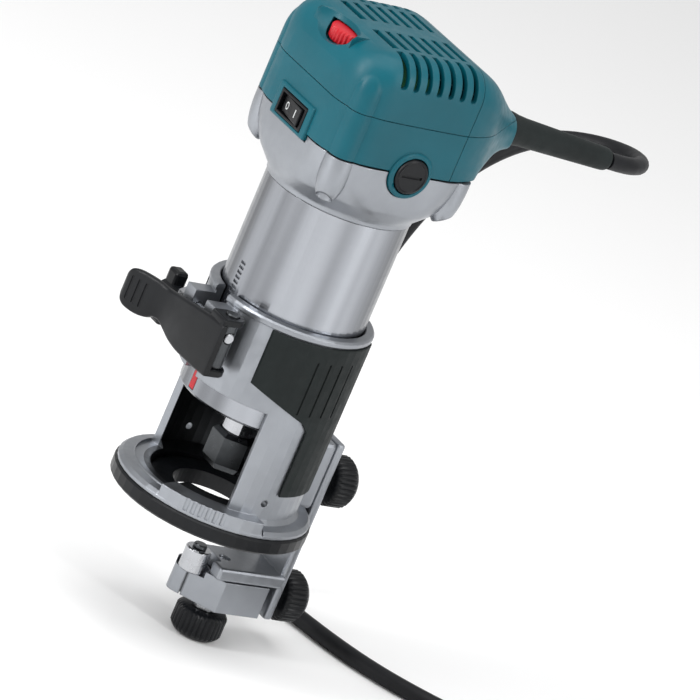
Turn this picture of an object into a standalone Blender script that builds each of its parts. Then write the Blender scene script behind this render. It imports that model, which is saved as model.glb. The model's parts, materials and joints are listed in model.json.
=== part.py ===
"""Corded trim router in its trimmer base, with the roller guide fitted behind the base.

Frame: +Z is the spindle axis pointing up, the front (dial, switch, lock lever) faces -Y,
and the origin is the middle of the sole. Numbers are millimetres and MM turns them into metres.
"""
from math import cos, pi, radians, sin

import bmesh
import bpy
from mathutils import Matrix, Vector

MM = 0.001
GAP = 0.3                  # clearance between touching pieces

TUBE_R = 32.5              # motor tube, the standard 65 mm of this tool class
TUBE_BOTTOM = 49.5
TUBE_TOP = 150.0
SOLE_R = 44.8
SOLE_HOLE_R = 18.5
SOLE_TOP = 6.8
FLANGE_R = 43.9
FLANGE_TOP = 10.0
PAD_TOP = 14.0             # raised, ribbed arc of the flange on the +X side
SLEEVE_R = 36.5
SLEEVE_TOP = 99.0
BORE_R = TUBE_R + GAP
WINDOW_HALF_ANGLE = radians(66)
WINDOW_TOP = 59.5
SPLIT_HALF = 4.8
LUG_FRONT = -46.0
LUG_OUT = 12.0
LUG_Z = (70.0, 94.5)
BOLT_YZ = (-42.0, 86.5)    # clamp bolt, along X
BOLT_R = 2.4
SHAFT_YZ = (-37.0, 78.0)   # depth-adjusting shaft, along X
HINGE_XY = (20.0, -42.0)   # lock lever hinge, along Z
BARREL_R = 4.2
COLLAR_TOP = 178.2
SEAM_LOW = 179.0           # bottom edge of the plastic housing
SEAM_MID = 200.0           # joint between its lower and upper halves
SEAM_REAR = 21.0           # joint between the housing and the rear cover
WALL = 2.6
BRUSH_Z = 178.5            # height of the two carbon brushes, along X
SPINDLE_R = 6.0
HOLDER_Z = 19.5            # height of the guide's mounting screw
KNOB_R = 11.8
ARM_SCREW_Z = -37.5        # height of the guide's adjusting screw
ROLLER_XY = (-3.0, 8.0)
ARM_STUD_Y = 20.5
PLATE_Y = (45.1, 49.5)     # the guide's upright plate, just behind the sole
KNOB_Y = (53.0, 65.5)
DIAL_Y = -23.6
DIAL_R = 11.8
CORD_R = 3.8
FLOOR = -61.5              # surface that the guide and the loose cord reach down to
SEGMENTS = 40

CORD_ROUTE = [
    (0, 127.5, 187.3), (-0.6, 137.5, 186.2), (-5.2, 148.7, 184.9), (-13.7, 157.2, 183.4),
    (-25, 161.9, 181.6), (-37, 161.9, 179.3), (-48.2, 157.3, 176.5), (-56.8, 148.7, 173.0),
    (-61.4, 137.5, 168.6), (-62.4, 125.5, 162.3), (-62.4, 113.8, 153.6), (-62.4, 103.6, 142.4),
    (-62.3, 95.2, 129.0), (-62.2, 88.4, 113.0), (-62, 83.2, 94.5), (-62, 79.4, 72.0),
    (-62, 77.3, 45.0), (-62, 76.4, 12.0), (-61.8, 76.7, -16.0), (-59.4, 78.0, -35.5),
    (-52.6, 80.4, -47.8), (-42.2, 83.4, -55.0), (-29, 86.8, -57.6), (-13, 90.9, -57.6),
    (4, 96.0, -57.6), (21, 103.0, -57.6), (37.5, 113.2, -57.6), (53, 126.0, -57.6),
    (68.8, 141.2, -57.6), (88, 156.2, -57.6),
]
COIL_XY = (118.0, 104.0)
COIL_MEAN_R = 39.0
COIL_HALF = (15.8, 7.7)    # half its width and half its height
PLUG_X = COIL_XY[0] + 50.9
PLUG_Y = COIL_XY[1] - 60.0  # middle of the plug, which points to -Y
PLUG_Z = FLOOR + 9.0


def clear_scene():
    for old in list(bpy.data.objects):
        bpy.data.objects.remove(old, do_unlink=True)
    groups = []
    for name in ("trim router", "cutters"):
        group = bpy.data.collections.new(name)
        bpy.context.scene.collection.children.link(group)
        groups.append(group)
    return groups


PARTS, CUTTERS = clear_scene()


def finish(name, color, roughness, metallic=0.0):
    mat = bpy.data.materials.new(name)
    mat.use_nodes = True
    shader = mat.node_tree.nodes["Principled BSDF"]
    shader.inputs["Base Color"].default_value = (*color, 1.0)
    shader.inputs["Roughness"].default_value = roughness
    shader.inputs["Metallic"].default_value = metallic
    return mat


TEAL = finish("teal plastic", (0.01, 0.19, 0.24), 0.42)
BLACK = finish("black plastic", (0.02, 0.022, 0.026), 0.45)
RUBBER = finish("charcoal rubber", (0.035, 0.04, 0.042), 0.7)
RED = finish("red plastic", (0.62, 0.05, 0.05), 0.4)
CAST = finish("satin aluminium", (0.62, 0.64, 0.67), 0.36, 1.0)
POLISHED = finish("polished aluminium", (0.8, 0.81, 0.83), 0.18, 1.0)
STEEL = finish("bright steel", (0.6, 0.6, 0.6), 0.25, 1.0)
DARK_STEEL = finish("dark steel", (0.16, 0.17, 0.18), 0.35, 1.0)
COPPER = finish("copper winding", (0.55, 0.22, 0.1), 0.4, 1.0)
CARBON = finish("carbon", (0.03, 0.03, 0.03), 0.6)
BRASS = finish("brass", (0.7, 0.5, 0.2), 0.3, 1.0)
BOARD = finish("circuit board", (0.03, 0.15, 0.06), 0.5)


def add(name, mesh, mat, at=(0, 0, 0), turn=(0, 0, 0)):
    """Put a mesh in the scene: as a part when it has a material, as a cutter when it has none."""
    obj = bpy.data.objects.new(name, mesh)
    obj.location = Vector(at) * MM
    obj.rotation_euler = [radians(a) for a in turn]
    if mat is None:
        CUTTERS.objects.link(obj)
        obj.hide_render = True
        obj.display_type = "WIRE"
    else:
        mesh.materials.append(mat)
        PARTS.objects.link(obj)
    return obj


def smooth(obj, angle=35):
    obj.data.shade_smooth()
    obj.data.set_sharp_from_angle(angle=radians(angle))
    return obj


TURNS = {"Z": (0, 0, 0), "X": (0, 90, 0), "Y": (-90, 0, 0)}


def turned(name, profile, mat, at=(0, 0, 0), axis="Z", steps=SEGMENTS):
    """Turn a profile of (radius, height) points, listed down its outer side, about an axis.

    A profile that starts and ends on the axis gives a solid, and any other is closed to a ring.
    """
    solid = profile[0][0] == 0
    mesh = bpy.data.meshes.new(name)
    verts = [(r * MM, 0, h * MM) for r, h in profile]
    edges = [(i, i + 1) for i in range(len(verts) - 1)]
    if not solid:
        edges.append((len(verts) - 1, 0))
    mesh.from_pydata(verts, edges, [])
    obj = add(name, mesh, mat, at, TURNS[axis])
    screw = obj.modifiers.new("turn", "SCREW")
    screw.steps = screw.render_steps = steps
    screw.use_merge_vertices = True
    screw.merge_threshold = 0.00001
    screw.use_smooth_shade = False
    return obj


def rod(name, r, low, high, mat, at=(0, 0, 0), axis="Z", steps=24, chamfer=0.0):
    c = chamfer
    top = [(0, high), (r - c, high), (r, high - c)] if c else [(0, high), (r, high)]
    bottom = [(r, low + c), (r - c, low), (0, low)] if c else [(r, low), (0, low)]
    return turned(name, top + bottom, mat, at, axis, steps)


def ring(name, r_in, r_out, low, high, mat, at=(0, 0, 0), axis="Z", steps=SEGMENTS):
    loop = [(r_in, high), (r_out, high), (r_out, low), (r_in, low)]
    return turned(name, loop, mat, at, axis, steps)


def box(name, low, high, mat, bevel=0.0, turn=(0, 0, 0), segments=2):
    size = [b - a for a, b in zip(low, high)]
    middle = [(a + b) / 2 for a, b in zip(low, high)]
    mesh = bpy.data.meshes.new(name)
    bm = bmesh.new()
    bmesh.ops.create_cube(bm, size=1.0)
    bmesh.ops.scale(bm, vec=Vector(size) * MM, verts=bm.verts)
    bm.to_mesh(mesh)
    bm.free()
    obj = add(name, mesh, mat, middle, turn)
    if bevel:
        edge = obj.modifiers.new("edges", "BEVEL")
        edge.width = bevel * MM
        edge.segments = segments
    return obj


def plate(name, outline, low, high, mat, axis="Z", bevel=0.0):
    """Extrude a flat outline between two heights along an axis.

    The outline is (x, y) for Z, (y, z) for X and (x, z) for Y.
    """
    curve = bpy.data.curves.new(name, "CURVE")
    curve.dimensions = "2D"
    curve.fill_mode = "BOTH"
    curve.extrude = (high - low) / 2 * MM
    line = curve.splines.new("POLY")
    line.points.add(len(outline) - 1)
    for point, (a, b) in zip(line.points, outline):
        point.co = (a * MM, b * MM, 0, 1)
    line.use_cyclic_u = True
    guide = bpy.data.objects.new(name + " outline", curve)
    CUTTERS.objects.link(guide)
    bpy.context.view_layer.update()
    mesh = bpy.data.meshes.new_from_object(guide.evaluated_get(bpy.context.evaluated_depsgraph_get()))
    bpy.data.objects.remove(guide, do_unlink=True)
    bm = bmesh.new()
    bm.from_mesh(mesh)
    bmesh.ops.remove_doubles(bm, verts=bm.verts, dist=0.00001)
    middle = Vector((0, 0, (low + high) / 2 * MM))
    # a local (x, y) outline becomes (y, z) or (x, z) by a plain turn of the mesh
    places = {
        "Z": Matrix.Translation(middle),
        "X": Matrix(((0, 0, 1), (1, 0, 0), (0, 1, 0))).to_4x4() @ Matrix.Translation(middle),
        "Y": Matrix(((1, 0, 0), (0, 0, -1), (0, 1, 0))).to_4x4() @ Matrix.Translation(-middle),
    }
    bmesh.ops.transform(bm, matrix=places[axis], verts=bm.verts)
    bmesh.ops.recalc_face_normals(bm, faces=bm.faces)
    bm.to_mesh(mesh)
    bm.free()
    obj = add(name, mesh, mat)
    if bevel:
        edge = obj.modifiers.new("edges", "BEVEL")
        edge.width = bevel * MM
        edge.segments = 2
        edge.limit_method = "ANGLE"
        edge.angle_limit = radians(40)
    return obj


def boolean(obj, tool, operation):
    step = obj.modifiers.new(operation.lower() + " " + tool.name, "BOOLEAN")
    step.operation = operation
    step.solver = "EXACT"
    step.object = tool
    return obj


def cut(obj, *tools):
    for tool in tools:
        boolean(obj, tool, "DIFFERENCE")
    return obj


def join(obj, *tools):
    for tool in tools:
        boolean(obj, tool, "UNION")
    return obj


def keep(obj, tool):
    return boolean(obj, tool, "INTERSECT")


def rounded_outline(x0, x1, y0, y1, r, steps=5):
    """Corner points of a rounded rectangle, counter-clockwise from the corner at (x1, y0)."""
    r = min(r, (x1 - x0) / 2, (y1 - y0) / 2)
    corners = [(x1 - r, y0 + r, -90), (x1 - r, y1 - r, 0), (x0 + r, y1 - r, 90), (x0 + r, y0 + r, 180)]
    return [
        (cx + r * cos(radians(start + 90 * i / steps)), cy + r * sin(radians(start + 90 * i / steps)))
        for cx, cy, start in corners
        for i in range(steps + 1)
    ]


def arc(cx, cy, r, start, end, steps):
    """Points on an arc about (cx, cy), with angles in degrees."""
    return [
        (cx + r * cos(radians(start + (end - start) * i / steps)),
         cy + r * sin(radians(start + (end - start) * i / steps)))
        for i in range(steps + 1)
    ]


def lofted(name, sections, mat, capped):
    """Skin between sections of equal point count, and cap the ends when the skin is to be closed."""
    bm = bmesh.new()
    loops = [[bm.verts.new(Vector(p) * MM) for p in section] for section in sections]
    for below, above in zip(loops, loops[1:]):
        for i in range(len(below)):
            j = (i + 1) % len(below)
            bm.faces.new((below[i], below[j], above[j], above[i]))
    if capped:
        bm.faces.new(list(reversed(loops[0])))
        bm.faces.new(loops[-1])
    bmesh.ops.recalc_face_normals(bm, faces=bm.faces)
    mesh = bpy.data.meshes.new(name)
    bm.to_mesh(mesh)
    bm.free()
    return add(name, mesh, mat)


def hinge_point(name, at, pieces):
    """Parent pieces to an empty on their joint's axis."""
    empty = bpy.data.objects.new(name, None)
    empty.location = Vector(at) * MM
    empty.empty_display_size = 0.01
    PARTS.objects.link(empty)
    bpy.context.view_layer.update()
    for piece in pieces:
        piece.parent = empty
        piece.matrix_parent_inverse = empty.matrix_world.inverted()


def wedge(name, half_angle, low, high):
    reach = 90
    side = (reach * sin(half_angle), -reach * cos(half_angle))
    outline = [(0, 0), (-side[0], side[1]), (-side[0], -reach), (side[0], -reach), side]
    return plate(name, outline, low, high, None)


# ---------------------------------------------------------------- trimmer base

def make_base():
    loop = [
        (33.6, SLEEVE_TOP), (36.6, SLEEVE_TOP - 0.3), (37.3, SLEEVE_TOP - 1.2), (37.3, 96.0),
        (SLEEVE_R, 95.6), (SLEEVE_R, FLANGE_TOP + 2.5), (38.0, FLANGE_TOP + 0.6),
        (FLANGE_R - 1.5, FLANGE_TOP), (FLANGE_R, FLANGE_TOP - 1.5), (FLANGE_R, SOLE_TOP + GAP),
        (29.0, SOLE_TOP + GAP), (29.0, FLANGE_TOP - 1.0), (BORE_R, FLANGE_TOP + 3.0),
        (BORE_R, SLEEVE_TOP - 0.8),
    ]
    base = turned("base_casting", loop, CAST, steps=48)
    pad_inside = 23.0
    pad = ring("pad ring", pad_inside, FLANGE_R - 0.05, SOLE_TOP + GAP + 0.2, PAD_TOP, None, steps=48)
    sector = [(0, 0)] + [(60 * sin(radians(a)), -60 * cos(radians(a))) for a in (24, 45, 66, 88)]
    keep(pad, plate("pad sector", sector, 0, 30, None))
    window = wedge("window wedge", WINDOW_HALF_ANGLE, FLANGE_TOP + 0.01, WINDOW_TOP)
    ring_zone = ring("window zone", 20, SLEEVE_R + 0.9, FLANGE_TOP - 2, 70, None, steps=48)
    keep(window, ring_zone)
    cut(base, window)
    join(base, pad)
    lugs = []
    for side, (x0, x1) in {"right": (2.0, LUG_OUT), "left": (-LUG_OUT, -2.0)}.items():
        lugs.append(box("lug " + side, (x0, LUG_FRONT, LUG_Z[0]), (x1, -33.4, LUG_Z[1]), None))
    rear_boss = box("guide boss", (-11.0, 34.5, SOLE_TOP + 2), (11.0, PLATE_Y[0] - GAP, 41.0), None, 2.0)
    join(base, *lugs, rear_boss)
    split = box("split", (-SPLIT_HALF, -60, WINDOW_TOP - 4), (SPLIT_HALF, -20, 120), None)
    bolt_hole = rod("bolt hole", BOLT_R + GAP, -30, 30, None, (0, *BOLT_YZ), "X")
    shaft_hole = rod("shaft hole", 2.3, -30, 30, None, (0, *SHAFT_YZ), "X")
    side_holes = rod("side holes", 1.65, -60, 60, None, (0, 0, 20), "X", 16)
    guide_hole = rod("guide hole", 2.6, 20, 60, None, (0, 0, HOLDER_Z), "Y", 20)
    bore = rod("bore", BORE_R, FLANGE_TOP + 3.0, 120, None, steps=48)
    clean = rod("flange opening", 22.4, -5, 30, None, steps=48)
    cut(base, split, bolt_hole, shaft_hole, side_holes, guide_hole, bore, clean)
    for k in range(6):
        angle = 42 + 4.4 * k
        x, y = 44.4 * sin(radians(angle)), -44.4 * cos(radians(angle))
        cut(base, rod(f"rib groove {k}", 1.25, SOLE_TOP + 1.6, 40, None, (x, y, 0), steps=12))
    cut(base, box("pad slit", (37.8, -0.35, SOLE_TOP + 1.6), (50, 0.35, 20), None, turn=(0, 0, -8)))
    smooth(base)

    sole = turned("sub_base", [
        (SOLE_HOLE_R, SOLE_TOP), (SOLE_R - 0.8, SOLE_TOP), (SOLE_R, SOLE_TOP - 0.8),
        (SOLE_R, 1.0), (SOLE_R - 1.0, 0), (SOLE_HOLE_R, 0),
    ], BLACK, steps=48)
    smooth(sole)
    for k, angle in enumerate((150, 210, 0)):
        x, y = 36.5 * sin(radians(angle)), -36.5 * cos(radians(angle))
        pocket = rod(f"sole screw pocket {k}", 3.7, -1, 2.6, None, (x, y, 0), steps=20)
        cut(sole, pocket)
        head = [(0, 2.3), (3.4, 2.3), (3.4, 1.6), (2.0, 0.5), (0, 0.5)]
        turned(f"sole_screw_{k + 1}", head, STEEL, (x, y, 0), steps=20)


def make_grips():
    side_view = [
        (-25.0, 95.2), (-25.0, 70.0), (1.5, 59.2), (5.0, 55.5), (5.0, 24.5),
        (29.0, 24.5), (29.0, 95.2),
    ]
    for name, x0, x1 in (("grip_right", 5, 60), ("grip_left", -60, -5)):
        low, high = SLEEVE_R + GAP, SLEEVE_R + 1.3
        grip = turned(name, [(low, 95.3), (high - 0.4, 95.3), (high, 94.8), (high, 20), (low, 20)],
                      RUBBER, steps=48)
        keep(grip, plate(name + " outline", side_view, x0, x1, None, "X"))
        sign = 1 if x0 > 0 else -1
        for k, angle in enumerate((84, 94, 104, 115)):
            x, y = high * sin(radians(angle)) * sign, -high * cos(radians(angle))
            groove = box(f"{name} groove {k}", (x - 0.6, y - 0.5, 63), (x + 0.6, y + 0.5, 88), None,
                         turn=(0, 0, sign * (angle - 90)))
            cut(grip, groove)
        smooth(grip)


def make_clamp():
    y, z = BOLT_YZ
    hx, hy = HINGE_XY
    saddle = box("clamp_saddle", (LUG_OUT + GAP, -47.0, 72.6), (hx - BARREL_R - GAP, -37.0, 92.2),
                 BLACK, 0.8)
    cut(saddle, rod("saddle hole", BOLT_R + GAP, 0, 30, None, (0, y, z), "X"))

    bolt = rod("clamp_bolt", BOLT_R, -LUG_OUT - 2, hx + BARREL_R + 0.2, STEEL, (0, y, z), "X", 20, 0.4)
    hexagon = rod("bolt head", 4.4, -LUG_OUT - 4.2, -LUG_OUT - GAP, None, (0, y, z), "X", 6)
    join(bolt, hexagon)

    pin = turned("hinge_barrel", [
        (0, 96.6), (2.7, 96.6), (3.0, 96.2), (3.0, 92.3), (BARREL_R, 92.3), (BARREL_R, 72.4),
        (3.0, 72.4), (3.0, 68.4), (2.7, 68.0), (0, 68.0),
    ], DARK_STEEL, (hx, hy, 0), steps=24)
    cut(pin, rod("barrel hole", BOLT_R + GAP, 0, 40, None, (0, y, z), "X", 20))
    smooth(pin)

    outside = [(26.5, -49.6), (16, -50.3), (4, -50.9), (-8, -50.8), (-15, -51.3), (-19, -52.9),
               (-33, -59.9), (-35, -59.6)]
    inside = [(-35.4, -58.2), (-34, -56.6), (-20, -49.6), (-15.5, -48.1), (-8, -47.6), (4, -47.7),
              (16, -47.2), (26.5, -46.6)]
    lever = plate("lock_lever", outside + inside, 60, 100, BLACK)
    face = [
        (27, 68.9), (27, 93.2), (15, 92.6), (2, 91.0), (-8, 89.4), (-15, 88.2), (-19, 88.2),
        (-21, 89.0), (-33, 88.3), (-36, 86), (-36, 72.6), (-33, 70.3), (-21, 70.0), (-19, 73.5),
        (-15, 73.5), (-8, 70.6), (4, 68.9),
    ]
    keep(lever, plate("lever face", face, -62, -40, None, "Y"))
    ear_outline = [(26.3, -49.3), (26.3, -42)] + arc(hx, hy, 5.6, 0, 180, 10) + [(14.6, -49.3)]
    for name, low, high in (("ear top", 92.6, 95.6), ("ear bottom", 69.0, 72.1)):
        join(lever, plate(name, ear_outline, low, high, None))
    join(lever, box("ear bridge", (15.5, -49.5, 88), (26.2, -46.9, 95.4), None))
    cut(lever, rod("ear hole", 3.0 + GAP, 60, 100, None, (hx, hy, 0)))
    for k in range(3):
        x, y = -24.0 - 3.4 * k, -56.1 - 1.7 * k
        cut(lever, box(f"tab groove {k}", (x - 0.45, y - 0.9, 74), (x + 0.45, y + 0.9, 85), None,
                       turn=(0, 0, 26.5)))
    hinge_point("lever axis", (hx, hy, 80), [lever])

    y, z = SHAFT_YZ
    shaft = turned("depth_pinion", [
        (0, 4.3), (3.9, 4.3), (3.9, -4.3), (2.0, -4.3), (2.0, -21.0), (0, -21.0),
    ], STEEL, (0, y, z), "X", 20)
    knob = turned("depth_knob", [
        (0, -21.3), (5.0, -21.3), (6.4, -22.3), (6.9, -28), (6.9, -36.0), (5.8, -36.8), (0, -36.8),
    ], BLACK, (0, y, z), "X", 24)
    join(knob, box("knob wings", (-36.6, y - 3.2, z - 12.8), (-28.6, y + 3.2, z + 12.8), None, 1.6))
    hinge_point("depth shaft axis", (0, y, z), [shaft, knob])


# ---------------------------------------------------------------- roller guide

def grip_knob(name, at, axis, face_low, face_high):
    """A scalloped clamping knob between two heights along its axis."""
    low, high = sorted((face_low, face_high))
    knob = turned(name, [
        (0, high), (KNOB_R - 2.0, high), (KNOB_R, high - 2.0), (KNOB_R, low + 1.6),
        (KNOB_R - 1.6, low), (0, low),
    ], BLACK, at, axis, 24)
    return smooth(knob)


def make_guide():
    front, back = PLATE_Y
    holder = box("guide_holder", (-10.5, front, -46.0), (10.5, back, 41.0), CAST, 1.5)
    shelf = box("holder shelf", (-12.0, 12.0, -30.0), (12.0, front + 2, -24.0), None, 1.2)
    join(holder, shelf)
    slot = plate("holder slot", rounded_outline(-2.9, 2.9, 8.0, 31.0, 2.9, 4), 40, 60, None, "Y")
    screw_hole = rod("adjuster hole", 2.8, 30, 60, None, (0, 0, ARM_SCREW_Z), "Y", 20)
    stud_hole = rod("arm stud slot", 2.8, -40, -10, None, (0, ARM_STUD_Y, 0), steps=20)
    notch = box("roller notch", (-20, 0, -40), (4.8, 16.4, -10), None, 1.0)
    cut(holder, slot, screw_hole, stud_hole, notch)

    outline = [(12, 17.5), (12, 40.5), (-12, 40.5), (-12, 10.5)]
    outline += arc(-7.0, 8.5, 5.0, 170, 285, 8)
    arm = plate("guide_arm", outline, -45.0, -30.0 - GAP, CAST, bevel=1.0)
    cut(arm, rod("roller seat", 7.6, -33.3, -10, None, (*ROLLER_XY, 0), steps=32))
    stud_run = rounded_outline(-2.8, 2.8, ARM_STUD_Y - 4.8, ARM_STUD_Y + 8.8, 2.8, 4)
    cut(arm, plate("arm stud run", stud_run, -60, -10, None))
    cut(arm, rod("arm screw hole", 2.0 + GAP, 24.0, 60, None, (0, 0, ARM_SCREW_Z), "Y", 20))
    cut(arm, rod("axle hole", 1.8, -60, -10, None, (*ROLLER_XY, 0), steps=16))

    roller = turned("guide_roller", [
        (2.2, -22.4), (5.3, -22.4), (5.85, -23.0), (5.85, -32.4), (5.3, -33.0), (2.2, -33.0),
    ], STEEL, (*ROLLER_XY, 0), steps=24)
    smooth(roller)
    axle = turned("roller_axle", [
        (0, -20.4), (2.7, -20.4), (3.1, -20.9), (3.1, -22.1), (1.5, -22.1), (1.5, -44.0), (0, -44.0),
    ], DARK_STEEL, (*ROLLER_XY, 0), steps=16)
    hinge_point("roller axis", (*ROLLER_XY, -28), [roller])

    holder_knob = grip_knob("holder_knob", (0, 0, HOLDER_Z), "Y", *KNOB_Y)
    holder_stud = turned("holder_stud", [
        (0, KNOB_Y[0] - GAP), (5.2, KNOB_Y[0] - GAP), (5.2, back + GAP), (2.3, back + GAP),
        (2.3, 36.0), (0, 36.0),
    ], STEEL, (0, 0, HOLDER_Z), "Y", 20)
    hinge_point("holder knob axis", (0, 50, HOLDER_Z), [holder_knob, holder_stud])

    adjust_knob = grip_knob("adjust_knob", (0, 0, ARM_SCREW_Z), "Y", *KNOB_Y)
    adjust_screw = turned("adjust_screw", [
        (0, KNOB_Y[0] - GAP), (5.0, KNOB_Y[0] - GAP), (5.0, back + GAP), (2.0, back + GAP),
        (2.0, 31.0), (0, 31.0),
    ], STEEL, (0, 0, ARM_SCREW_Z), "Y", 20)
    hinge_point("adjuster axis", (0, 50, ARM_SCREW_Z), [adjust_knob, adjust_screw])

    arm_knob = grip_knob("arm_knob", (0, ARM_STUD_Y, 0), "Z", -48.4, FLOOR + 0.3)
    arm_stud = turned("arm_stud", [
        (0, -25.0), (2.4, -25.0), (2.4, -45.3), (5.6, -45.3), (5.6, -48.1), (0, -48.1),
    ], STEEL, (0, ARM_STUD_Y, 0), steps=20)
    hinge_point("arm knob axis", (0, ARM_STUD_Y, -50), [arm_knob, arm_stud])


# ---------------------------------------------------------------- motor unit

def make_motor_tube():
    tube = turned("motor_tube", [
        (TUBE_R - 2.0, TUBE_TOP), (TUBE_R, TUBE_TOP), (TUBE_R, TUBE_BOTTOM + 1.2),
        (TUBE_R - 1.2, TUBE_BOTTOM), (14.0, TUBE_BOTTOM), (14.0, TUBE_BOTTOM + 3),
        (TUBE_R - 2.0, TUBE_BOTTOM + 5),
    ], POLISHED, steps=48)
    for k in range(22):
        z = 64.0 + 2.25 * k
        cut(tube, box(f"rack slot {k}", (-1.8, -36, z), (1.8, -31.6, z + 1.1), None))
    mark_groove = box("mark groove", (-2.0, -36, 51.5), (2.0, -31.8, 61.5), None)
    cut(tube, mark_groove)
    smooth(tube)
    mark = turned("scale_mark", [(32.1, 61.2), (32.5, 61.2), (32.5, 51.8), (32.1, 51.8)], RED,
                  steps=96)
    keep(mark, box("mark sector", (-1.7, -40, 40), (1.7, -20, 70), None))


def collar_section(z, half, corner):
    outline = rounded_outline(-half, half, -half, half, corner, 4)
    return [(x, y, z) for x, y in outline]


COLLAR_RISE = [
    (150.3, 32.9, 32.8), (152.4, 33.4, 33.3), (154.6, 34.6, 32.5), (157.3, 35.8, 30.0),
    (160.0, 36.8, 27.5), (165.0, 37.8, 24.2), (170.0, 38.3, 21.6), (COLLAR_TOP, 38.8, 20.0),
]


def make_collar():
    collar = lofted("collar", [collar_section(*row) for row in COLLAR_RISE], CAST, False)
    shell = collar.modifiers.new("wall", "SOLIDIFY")
    shell.thickness = 2.4 * MM
    shell.offset = -1
    for k, angle in enumerate((45, 135, 225, 315)):
        x, y = 43.2 * sin(radians(angle)), -43.2 * cos(radians(angle))
        boss = turned(f"corner boss {k}", [
            (0, COLLAR_TOP), (5.4, COLLAR_TOP), (5.4, 170), (3.9, 164), (2.0, 159.5), (0, 157.5),
        ], None, (x, y, 0), steps=10)
        join(collar, boss)
        seat = (x + 0.7 * sin(radians(angle)), y - 0.7 * cos(radians(angle)), 0)
        cut(collar, rod(f"screw recess {k}", 3.7, 150, 171.5, None, seat, steps=14))
        rod(f"collar_screw_{k + 1}", 3.2, 168.4, 171.2, DARK_STEEL, seat, steps=12, chamfer=0.5)
    frame_room = box("switch room", (-14.8, -45, 175.2), (14.8, -30, 190), None)
    cut(collar, frame_room)
    for tag, low, high in (("right", 30, 60), ("left", -60, -30)):
        cut(collar, rod(f"brush room {tag}", 10.9, low, high, None, (0, 0, BRUSH_Z), "X", 28))
    smooth(collar, 30)


HIDDEN_LOW = SEAM_LOW - 8.0  # the skin runs on below the seam, where it is cut off

HOUSING_RUN = [
    # y, half width, low, top, corner radius
    (-39.4, 20.0, HIDDEN_LOW, 213.0, 5.0), (-38.2, 26.5, HIDDEN_LOW, 217.5, 8.0),
    (-35.5, 31.5, HIDDEN_LOW, 221.5, 10.0), (-31.0, 35.4, HIDDEN_LOW, 224.5, 12.0),
    (-24.0, 38.0, HIDDEN_LOW, 226.2, 12.0), (-10.0, 38.8, HIDDEN_LOW, 226.8, 12.0),
    (12.0, 38.8, HIDDEN_LOW, 226.8, 12.0), (22.0, 38.2, HIDDEN_LOW, 226.0, 12.0),
    (31.0, 35.6, HIDDEN_LOW, 222.5, 12.0), (38.5, 31.5, 176.0, 218.5, 12.0),
    (46.0, 25.0, 180.4, 214.0, 11.0), (54.0, 18.0, 183.6, 209.0, 10.0),
    (61.0, 13.0, 185.2, 204.5, 9.0), (66.3, 10.4, 186.2, 201.2, 7.4),
]


def housing_section(y, half, low, top, corner):
    """Section across the housing: square lower corners and rounded shoulders."""
    foot = 4.0 if y < 40 else corner * 0.6
    steps = 5
    points = []
    for cx, cz, start, r in (
        (half - foot, low + foot, -90, foot), (half - corner, top - corner, 0, corner),
        (-half + corner, top - corner, 90, corner), (-half + foot, low + foot, 180, foot),
    ):
        for i in range(steps + 1):
            a = radians(start + 90 * i / steps)
            points.append((cx + r * cos(a), y, cz + r * sin(a)))
    return points


def housing_piece(name, low, high):
    """The part of the hollow housing that lies within a box."""
    shell = lofted(name, [housing_section(*row) for row in HOUSING_RUN], TEAL, True)
    wall = shell.modifiers.new("wall", "SOLIDIFY")
    wall.thickness = WALL * MM
    wall.offset = -1
    return keep(shell, box(name + " region", low, high, None))


def make_housing():
    half_gap = GAP / 2
    lower = housing_piece("lower_housing", (-60, -60, SEAM_LOW),
                          (60, SEAM_REAR - half_gap, SEAM_MID - half_gap))
    upper = housing_piece("upper_housing", (-60, -60, SEAM_MID + half_gap), (60, SEAM_REAR - half_gap, 240))
    rear_low = housing_piece("rear_cover_lower", (-60, SEAM_REAR + half_gap, SEAM_LOW),
                             (60, 80, SEAM_MID - half_gap))
    rear_top = housing_piece("rear_cover_upper", (-60, SEAM_REAR + half_gap, SEAM_MID + half_gap),
                             (60, 80, 240))
    join(lower, box("switch frame", (-14.4, -40.6, 175.6), (14.4, -36.9, 190.5), None, 0.8))
    cut(lower, box("switch opening", (-10.9, -45, 177.2), (10.9, -30, 188.6), None))
    for sign, tag in ((1, "right"), (-1, "left")):
        lip = rod(f"brush lip {tag}", 10.4, 36.6, 40.2, None, (0, 0, BRUSH_Z), "X", 28)
        eye = rod(f"brush eye {tag}", 8.4, 30, 60, None, (0, 0, BRUSH_Z), "X", 28)
        if sign < 0:
            lip.rotation_euler = (0, radians(-90), 0)
            eye.rotation_euler = (0, radians(-90), 0)
        join(lower, lip)
        cut(lower, eye)

    join(upper, box("dial pad", (-15, -37.0, 207), (15, -18, 225.6), None))
    scoop = turned("dial scoop", [(0, 14), (7, 12), (10, 8), (10, -8), (7, -12), (0, -14)], None,
                   (0, -38.5, 226.5), "X", 24)
    slot = rod("dial slot", DIAL_R + 0.8, 215.0, 223.2, None, (0, DIAL_Y - 0.4, 0), steps=32)
    room = box("dial room", (-12.6, DIAL_Y, 215.0), (12.6, -10, 223.2), None)
    cut(upper, scoop, slot, room)
    for k in range(7):
        y = -20.3 + 6.03 * k
        half = 1.7 if k == 0 else 1.3
        for sign, tag in ((1, "right"), (-1, "left")):
            x0, x1 = sorted((sign * 15.0, sign * 60.0))
            cut(upper, box(f"vent {tag} {k}", (x0, y - half, 214.6), (x1, y + half, 240), None))

    eye = rod("guard eye", 6.3, 50, 80, None, (0, 0, 193.6), "Y", 24)
    cut(rear_low, eye)
    cut(rear_top, eye)
    for piece in (lower, upper, rear_low, rear_top):
        smooth(piece, 30)


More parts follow.
